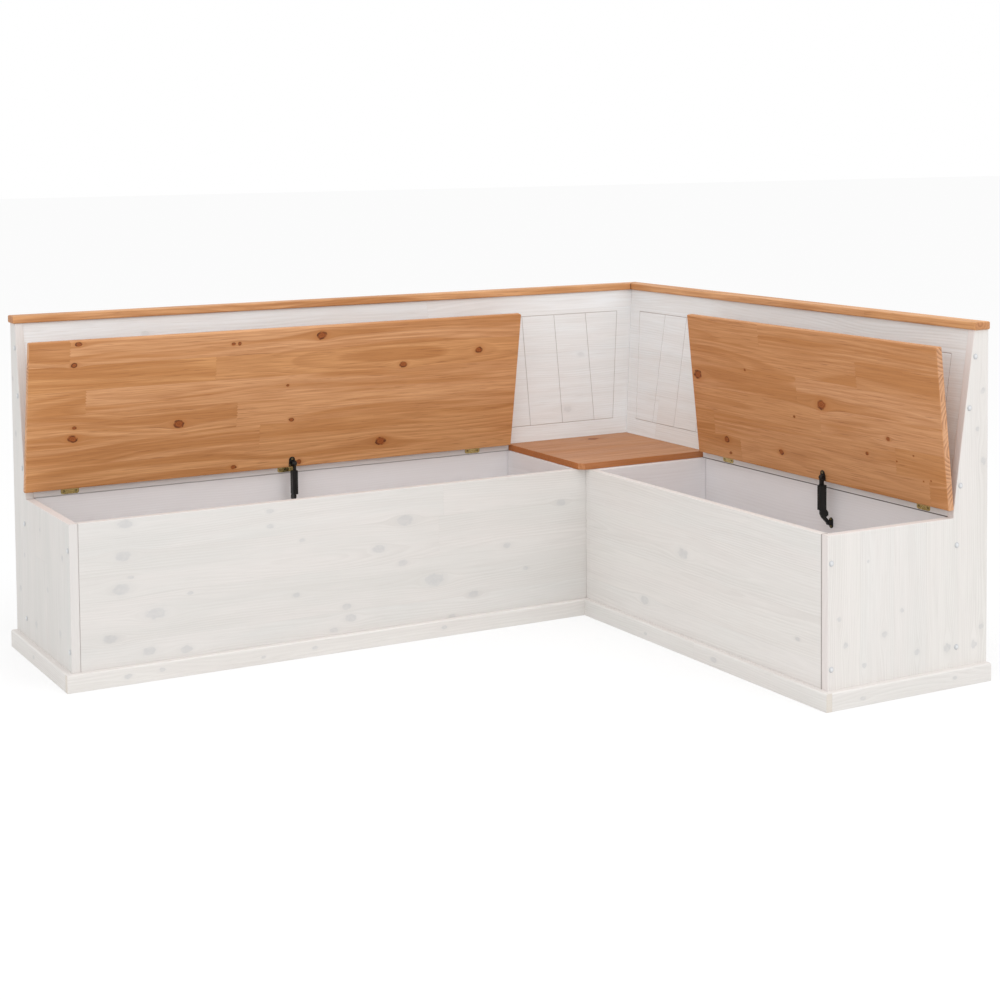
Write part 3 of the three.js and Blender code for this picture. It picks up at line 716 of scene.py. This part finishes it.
for leg, along, behind, seed, knots, groove_strength in (
    ("long", right, back, 61.0, long_back_knots, 0.80),
    ("short", -back, right, 67.0, short_back_knots, 0.95),
):
    node = leg + "_backrest"
    low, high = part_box(node)
    board = ((low.x, high.y if along.y < 0 else low.y, low.z), along, up)
    back_white = white_pine(
        leg + "_back_white", board, back_stave, seed, knots, back_base_cooled_against_bounce, grain=0.20,
        knot_strength=0.20,
    )
    lay_over(back_white, looking(behind, "Towards", 0.5, 0.8), rear_strength, rear_stain)
    groove = groove_floor(behind, low.dot(behind))
    # Groove floors painted grey: thinner stain with painted shade.
    dress(node, lay_over(back_white, groove, groove_strength, groove_stain_and_shade))

# Hinge rails: white boards that lie on the chest backs and carry the hinges. The seam
# under them is open by a hair; a painted shadow darkens it between the cheek and the
# corner.
rail_base = (0.820, 0.800, 0.812, 1)
seam_shadow = (0.100, 0.080, 0.075, 1)
seam_height = 0.40215
rail_seam_shadow_mask = seam(up, seam_height, 0.0016)
rail_seam_shadow_strengths = {"long": 0.45, "short": 0.95}

for leg, along, seed in (("long", right, 71.0), ("short", -back, 73.0)):
    node = leg + "_hinge_rail"
    low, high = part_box(node)
    board = ((low.x, high.y, low.z - 0.01), along, up)
    rail_white = white_pine(node + "_white", board, wide_stave, seed, base=rail_base)
    dress(node, lay_over(rail_white, rail_seam_shadow_mask, rail_seam_shadow_strengths[leg], seam_shadow))

# Inside of the chests: backs, dividers and floors have one thin pale stain with a
# pinkish cast, laid on smooth boards. The painted seam shadow under each hinge rail runs
# on here.
inner_stave = 0.13
inner_ring_width = 0.0065
inner_stain = (0.850, 0.830, 0.842, 1)
inner_stain_deep = (0.790, 0.765, 0.770, 1)
inner_grain = (0.700, 0.665, 0.665, 1)


def inner_pine(name, board, seed):
    material, tree, shader = new_material(name)
    figure, _, _, end_grain = board_figure(
        tree, board, inner_stave, whole_piece, inner_ring_width, seed
    )
    colour = laid_on(tree, inner_stain, (
        (figure["Cloud"], 0.45, inner_stain_deep),
        (figure["Rings"], 0.22, inner_grain),
        (figure["Fibre"], 0.12, inner_grain),
        (end_grain, 0.30, bare_end_grain),
    ))
    tree.links.new(colour, shader.inputs["Base Color"])
    shader.inputs["Roughness"].default_value = 0.62
    raise_by(tree, shader, figure["Fibre"], 0.25, 0.0003)
    return material


for leg, piece, along, across, seed in (
    ("long", "box_back", right, up, 81.0),
    ("short", "box_back", -back, up, 82.0),
    ("long", "corner_divider", -back, up, 83.0),
    ("short", "corner_divider", right, up, 84.0),
    ("long", "box_floor", right, back, 85.0),
    ("short", "box_floor", -back, right, 86.0),
):
    node = leg + "_" + piece
    stained = inner_pine(node + "_stain", (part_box(node)[0], along, across), seed)
    if piece == "box_back":
        lay_over(stained, rail_seam_shadow_mask, rail_seam_shadow_strengths[leg], seam_shadow)
    dress(node, stained)

# Lids and corner seat: solid pine staves, finger-jointed end to end, stained honey and
# oiled. The knots stay dark brown, with the grain running round them. The seat's edges
# are redder than its top.
honey = (0.700, 0.352, 0.142, 1)
honey_pale = (0.790, 0.440, 0.248, 1)
honey_deep = (0.510, 0.215, 0.068, 1)
honey_ring = (0.410, 0.165, 0.056, 1)
honey_pore = (0.300, 0.110, 0.042, 1)
knot_heart = (0.330, 0.078, 0.012, 1)
knot_rim = (0.060, 0.012, 0.003, 1)
knot_glow = (0.480, 0.170, 0.045, 1)
lid_end = (0.700, 0.395, 0.225, 1)
end_ring = (0.270, 0.095, 0.035, 1)
honey_ring_width = 0.0090
honey_knot_length = 1.35
honey_knot_torn = 0.8


def honey_pine(
    name, board, staves, pieces, seed, knots=(), light=honey, end_colour=lid_end,
    dark=honey_ring,
):
    material, tree, shader = new_material(name)
    figure, nearest, mottle, end_grain = board_figure(
        tree, board, staves, pieces, honey_ring_width, seed, knots, honey_knot_length,
        honey_knot_torn,
    )
    rings, fibre = figure["Rings"], figure["Fibre"]
    colour = laid_on(tree, light, (
        (figure["Tone"], 0.58, honey_pale),
        (figure["Bands"], 0.80, honey_deep),
        (figure["Cloud"], 0.32, honey_deep),
        (rings, 0.42, dark),
        (fibre, 0.50, dark),
        (figure["Flecks"], 0.55, honey_pore),
        (figure["Joint"], 0.34, dark),
    ))
    if knots:
        halo = fade(tree, nearest, 0.9, 2.4)
        heart = fade(tree, nearest, 0.75, 1.15)
        year_rings = smooth(tree, reckon(tree, "PINGPONG", nearest, 0.21), 0.08, 0.20)
        inner_rim = smooth(tree, nearest, 0.55, 0.9)
        outer_rim = fade(tree, nearest, 0.95, 1.25)
        rim = reckon(tree, "MULTIPLY", inner_rim, outer_rim)
        colour = laid_on(tree, colour, (
            (halo, 0.40, knot_glow),
            (heart, 0.88, knot_heart),
            (reckon(tree, "MULTIPLY", heart, year_rings), 0.35, knot_rim),
            (reckon(tree, "MULTIPLY", rim, mottle), 0.85, knot_rim),
        ))
    colour = laid_on(tree, colour, (
        (end_grain, 0.70, end_colour),
        (reckon(tree, "MULTIPLY", end_grain, rings), 0.70, end_ring),
    ))
    tree.links.new(colour, shader.inputs["Base Color"])
    rough_by(tree, shader, fibre, 0.50, 0.64)
    raise_by(tree, shader, reckon(tree, "MULTIPLY_ADD", fibre, 0.4, rings), 0.3, 0.0003)
    shader.inputs["Specular IOR Level"].default_value = 0.30
    return material


def joint_of(name):
    return next(joint for joint in frame["joints"] if joint["name"] == name)


def open_lid_axes(joint_name):
    """The ways along a lid's hinge and from the hinge up the lid, as it stands open."""
    joint = joint_of(joint_name)
    along = Vector(joint["axis"])
    opening = math.radians(joint["range_deg"][1])
    rise = Matrix.Rotation(-opening, 3, along) @ along.cross(up)
    return along, rise


lid_stave = 0.0655
short_honey = (0.610, 0.292, 0.116, 1)
long_lid_knots = (
    (127, 385, 6), (117, 331, 6), (122, 165, 4), (119, 136, 9), (402, 152, 10),
    (545, 359, 4), (562, 359, 3), (798, 367, 10), (722, 137, 5), (561, 19, 6),
    (751, 16, 6), (1050, 270, 8), (1287, 296, 8), (995, 53, 11), (706, 234, 3),
)
short_lid_knots = (
    (30, 226, 12), (569, 204, 12), (252, 260, 3), (141, 57, 8), (155, 22, 4),
    (384, 56, 7), (734, 102, 4), (817, 149, 5), (843, 98, 2), (935, 62, 2),
    (961, 67, 2), (905, 120, 2), (452, 160, 3),
)
long_pivot = Vector(joint_of("long_lid_hinge")["pos_m"])
short_pivot = Vector(joint_of("short_lid_hinge")["pos_m"])
long_lid_corner = (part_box("long_lid")[0].x, long_pivot.y, long_pivot.z)
short_lid_corner = (short_pivot.x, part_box("short_lid")[1].y, short_pivot.z)
for node, corner, piece_length, seed, knots, light in (
    ("long_lid", long_lid_corner, 1.6, 5.0, long_lid_knots, honey),
    ("short_lid", short_lid_corner, 0.75, 12.0, short_lid_knots, short_honey),
):
    board = (corner, *open_lid_axes(node + "_hinge"))
    dress(node, honey_pine(node + "_honey", board, lid_stave, piece_length, seed, knots, light))

seat_stave = 0.09
seat_piece = 1.2
seat_knots = ((259, 348, 12),)
seat_honey = (0.520, 0.262, 0.142, 1)
seat_ring = (0.270, 0.105, 0.040, 1)
seat_edge = (0.450, 0.145, 0.032, 1)


def upright(tree):
    """Finds the faces that aren't level."""
    return reckon(tree, "SUBTRACT", 1, facing(tree, up, "Either Way", 0.3, 0.7))


seat_low, seat_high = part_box("corner_seat")
corner_seat_honey = honey_pine(
    "corner_seat_honey", ((seat_low.x, seat_low.y, seat_high.z), right, back), seat_stave,
    seat_piece, 15.0, seat_knots, seat_honey, seat_edge, seat_ring,
)
dress("corner_seat", lay_over(corner_seat_honey, upright, 0.50, seat_edge))

# Top rails: honey-stained pine caps on the backs, mitred in the corner, where the joint
# shows as a thin dark line. Their end grain is darker than that of the lids.
rail_stave = 0.12
rail_piece = 2.4
rail_margin = 0.02
rail_honey = (0.800, 0.440, 0.200, 1)
rail_end = (0.500, 0.225, 0.100, 1)
long_rail_low, long_rail_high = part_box("long_top_rail")
short_rail_low, short_rail_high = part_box("short_top_rail")
long_rail_corner = (long_rail_low.x, long_rail_low.y - rail_margin, long_rail_high.z)
short_rail_corner = (short_rail_low.x - rail_margin, short_rail_high.y, short_rail_high.z)
mitre = seam(right - back, long_rail_high.x - long_rail_high.y, 0.0016, 0.6)
for node, board, seed in (
    ("long_top_rail", (long_rail_corner, right, back), 18.0),
    ("short_top_rail", (short_rail_corner, -back, right), 19.0),
):
    rail_pine = honey_pine(
        node + "_honey", board, rail_stave, rail_piece, seed, light=rail_honey,
        end_colour=rail_end,
    )
    dress(node, lay_over(rail_pine, mitre, 0.85, knot_rim))


# Butt hinges: pressed brass leaves let into the rail and the lid, with a bright pin.
# They are plated, a little cloudy, and darker where hands and dust reach.
def make_tarnish_group():
    """Soft clouds, so many to a metre, where plating has gone dull."""
    tree, given, result = start_group(
        "tarnish",
        [
            ("Place", "Vector", None),
            ("Density", "Float", 160.0),
            ("Detail", "Float", 4.0),
            ("Low", "Float", 0.3),
            ("High", "Float", 0.75),
        ],
        [("Cloud", "Float")],
    )
    place, density, detail, low, high = given[0:5]
    spread = reckon_vector(tree, "SCALE", place, None, None, density)
    tree.links.new(smooth(tree, cloudy(tree, spread, detail), low, high), result[0])
    return tree


tarnish_group = make_tarnish_group()


def plated_metal(name, clouds, bright, dull, least_rough, most_rough):
    """Plated metal. Its clouds are a density, a detail, and where they begin and are full."""
    material, tree, shader = new_material(name)
    place = add_node(tree, "TexCoord").outputs["Object"]
    cloud = use_group(tree, tarnish_group, place, *clouds)["Cloud"]
    tree.links.new(tint(tree, cloud, bright, dull), shader.inputs["Base Color"])
    rough_by(tree, shader, cloud, least_rough, most_rough)
    shader.inputs["Metallic"].default_value = 1.0
    return material


brass_bright = (0.68, 0.56, 0.25, 1)
brass_dull = (0.42, 0.33, 0.12, 1)
brass_clouds = (160, 4.0, 0.3, 0.75)
brass = plated_metal("brass_plate", brass_clouds, brass_bright, brass_dull, 0.20, 0.38)
for node in frame["nodes"]:
    if "_hinge_" in node and not node.endswith("_hinge_rail"):
        dress(node, brass)

# Screws: small countersunk screws with a cross recess, of plated steel gone dull. Two
# hold each hinge leaf, and two hold each bracket of the stays.
plating_worn = (0.34, 0.28, 0.13, 1)
plating_dark = (0.20, 0.165, 0.08, 1)
plating_clouds = (500, 3.0, 0.3, 0.7)
screw_metal = plated_metal(
    "dull_plating", plating_clouds, plating_worn, plating_dark, 0.34, 0.50
)
screw_radius = 0.0031
screw_stand = 0.00035
recess_depth = 0.0011
recess_half_width = 0.00045
recess_field = screw_radius * 1.1
head_profile = (
    (screw_radius * 0.86, 0),
    (screw_radius, -screw_stand * 0.5),
    (screw_radius, -screw_stand),
    (screw_radius * 0.5, -screw_stand * 6),
)


def screw_head(shape, place, outwards):
    """Adds a screw head to a bmesh: a cross recess, a round rim and a cone below them."""
    half, third = recess_field / 2, recess_field / 3
    field_verts = bmesh.ops.create_grid(shape, x_segments=5, y_segments=5, size=half)["verts"]
    even = sorted({round(vert.co.x, 6) for vert in field_verts})
    wanted = (-half, -third, -recess_half_width, recess_half_width, third, half)
    moved = dict(zip(even, wanted))
    for vert in field_verts:
        vert.co.x = moved[round(vert.co.x, 6)]
        vert.co.y = moved[round(vert.co.y, 6)]

    faces = list(dict.fromkeys(face for vert in field_verts for face in vert.link_faces))
    rim_edges = [edge for face in faces for edge in face.edges if edge.is_boundary]
    cross = []
    for face in faces:
        middle = face.calc_center_median()
        near, far = sorted((abs(middle.x), abs(middle.y)))
        if near < recess_half_width / 2 and far < recess_field * 0.4:
            cross.append(face)
    sunk = bmesh.ops.extrude_face_region(shape, geom=cross)["geom"]
    sunk_verts = [item for item in sunk if isinstance(item, bmesh.types.BMVert)]
    bmesh.ops.translate(shape, vec=(0, 0, -recess_depth), verts=sunk_verts)
    bmesh.ops.delete(shape, geom=cross, context="FACES_ONLY")

    made = set(field_verts) | set(sunk_verts)
    for radius, depth in head_profile:
        outer = bmesh.ops.extrude_edge_only(shape, edges=rim_edges)["geom"]
        ring = [item for item in outer if isinstance(item, bmesh.types.BMVert)]
        rim_edges = [item for item in outer if isinstance(item, bmesh.types.BMEdge)]
        for vert in ring:
            flat = Vector((vert.co.x, vert.co.y, 0)).normalized() * radius
            vert.co = (flat.x, flat.y, depth)
        made.update(ring)

    turn = up.rotation_difference(outwards).to_matrix().to_4x4()
    to_place = Matrix.Translation(place + outwards * screw_stand)
    bmesh.ops.transform(shape, matrix=to_place @ turn, verts=list(made))


def screws(name, body, places, outwards):
    shape = bmesh.new()
    for place in places:
        screw_head(shape, place, outwards)
    bmesh.ops.recalc_face_normals(shape, faces=shape.faces)
    mesh = bpy.data.meshes.new(name)
    shape.to_mesh(mesh)
    shape.free()
    mesh.materials.append(screw_metal)
    piece = bpy.data.objects.new(name, mesh)
    bpy.context.scene.collection.objects.link(piece)
    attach(piece, body)


chest_back_inset = 0.107
leaf_screw_offset = 0.016
rail_screw_height = 0.4118
lid_leaf_face = 0.00075
lid_leaf_screw_depth = 0.0114
plate_face = 0.0232
plate_screws = ((-0.004, 0.0248), (-0.0092, 0.0085))
plate_behind_pivot = 0.0062
wall_screw_offset = 0.0093

for leg, hinge_count, chest_face in (
    ("long", 3, back * (cad_high.y - chest_back_inset)),
    ("short", 2, right * (cad_high.x - chest_back_inset)),
):
    along, rise = open_lid_axes(leg + "_lid_hinge")
    forwards = along.cross(up)
    outside = along.cross(rise)
    pivot = Vector(joint_of(leg + "_lid_hinge")["pos_m"])
    pivot -= along * pivot.dot(along)
    rail_places, lid_places = [], []
    for number in range(1, hinge_count + 1):
        low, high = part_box(leg + "_hinge_" + str(number) + "_pin")
        hinge_middle = ((low + high) / 2).dot(along)
        for side in (-1, 1):
            beside = along * (hinge_middle + side * leaf_screw_offset)
            on_lid = pivot + rise * lid_leaf_face + outside * lid_leaf_screw_depth
            rail_places.append(beside + chest_face + up * rail_screw_height)
            lid_places.append(beside + on_lid)
    screws(leg + "_rail_leaf_screws", "bench_body", rail_places, forwards)
    screws(leg + "_lid_leaf_screws", leg + "_lid_body", lid_places, -rise)

    stay_along = along * Vector(joint_of(leg + "_stay_lid_pivot")["pos_m"]).dot(along)
    bracket_places = [
        stay_along + pivot + along * sideways + rise * height + outside * plate_face
        for sideways, height in plate_screws
    ]
    screws(leg + "_lid_bracket_screws", leg + "_lid_body", bracket_places, outside)
    wall_pivot = Vector(joint_of(leg + "_stay_wall_pivot")["pos_m"])
    wall_places = [
        wall_pivot + up * side * wall_screw_offset - forwards * plate_behind_pivot
        for side in (-1, 1)
    ]
    screws(leg + "_wall_bracket_screws", "bench_body", wall_places, forwards)

# Lid stays: a casing, a flat rod and two brackets for each lid, all of black moulded
# nylon with a fine sandy grain on every face.
nylon_black = (0.0045, 0.0044, 0.0042, 1)
nylon_grey = (0.012, 0.0115, 0.011, 1)
sand_per_metre = 1400


def black_nylon():
    material, tree, shader = new_material("black_nylon")
    place = add_node(tree, "TexCoord").outputs["Object"]
    sand = cloudy(tree, reckon_vector(tree, "SCALE", place, None, None, sand_per_metre))
    tree.links.new(tint(tree, sand, nylon_black, nylon_grey), shader.inputs["Base Color"])
    shader.inputs["Roughness"].default_value = 0.42
    shader.inputs["Specular IOR Level"].default_value = 0.32
    raise_by(tree, shader, sand, 0.3, 0.0002)
    return material


nylon = black_nylon()
for node in frame["nodes"]:
    if "_stay_" in node:
        dress(node, nylon)

# Cover caps: small pale plastic domes pressed over the screws in the cheeks. A
# painted shade on the sloping rim of each dome makes a greyer ring round it.
cap_white = (0.70, 0.715, 0.735, 1)
cap_pale = (0.76, 0.77, 0.785, 1)
cap_shade = (0.40, 0.41, 0.42, 1)
cap_clouds_per_metre = 300


def cap_plastic():
    material, tree, shader = new_material("cap_plastic")
    place = add_node(tree, "TexCoord").outputs["Object"]
    spread = reckon_vector(tree, "SCALE", place, None, None, cap_clouds_per_metre)
    plain = tint(tree, cloudy(tree, spread, 3.0), cap_white, cap_pale)
    flat = reckon(tree, "MAXIMUM", *(
        facing(tree, outwards, "Either Way", 0.82, 0.97) for outwards in (right, back)
    ))
    shaded_slope = reckon(tree, "SUBTRACT", 1, flat)
    # Painted shade on the dome's slope.
    tree.links.new(laid_on(tree, plain, ((shaded_slope, 0.60, cap_shade),)), shader.inputs["Base Color"])
    shader.inputs["Roughness"].default_value = 0.30
    return material


caps = cap_plastic()
for node in frame["nodes"]:
    if "_cover_cap_" in node:
        dress(node, caps)
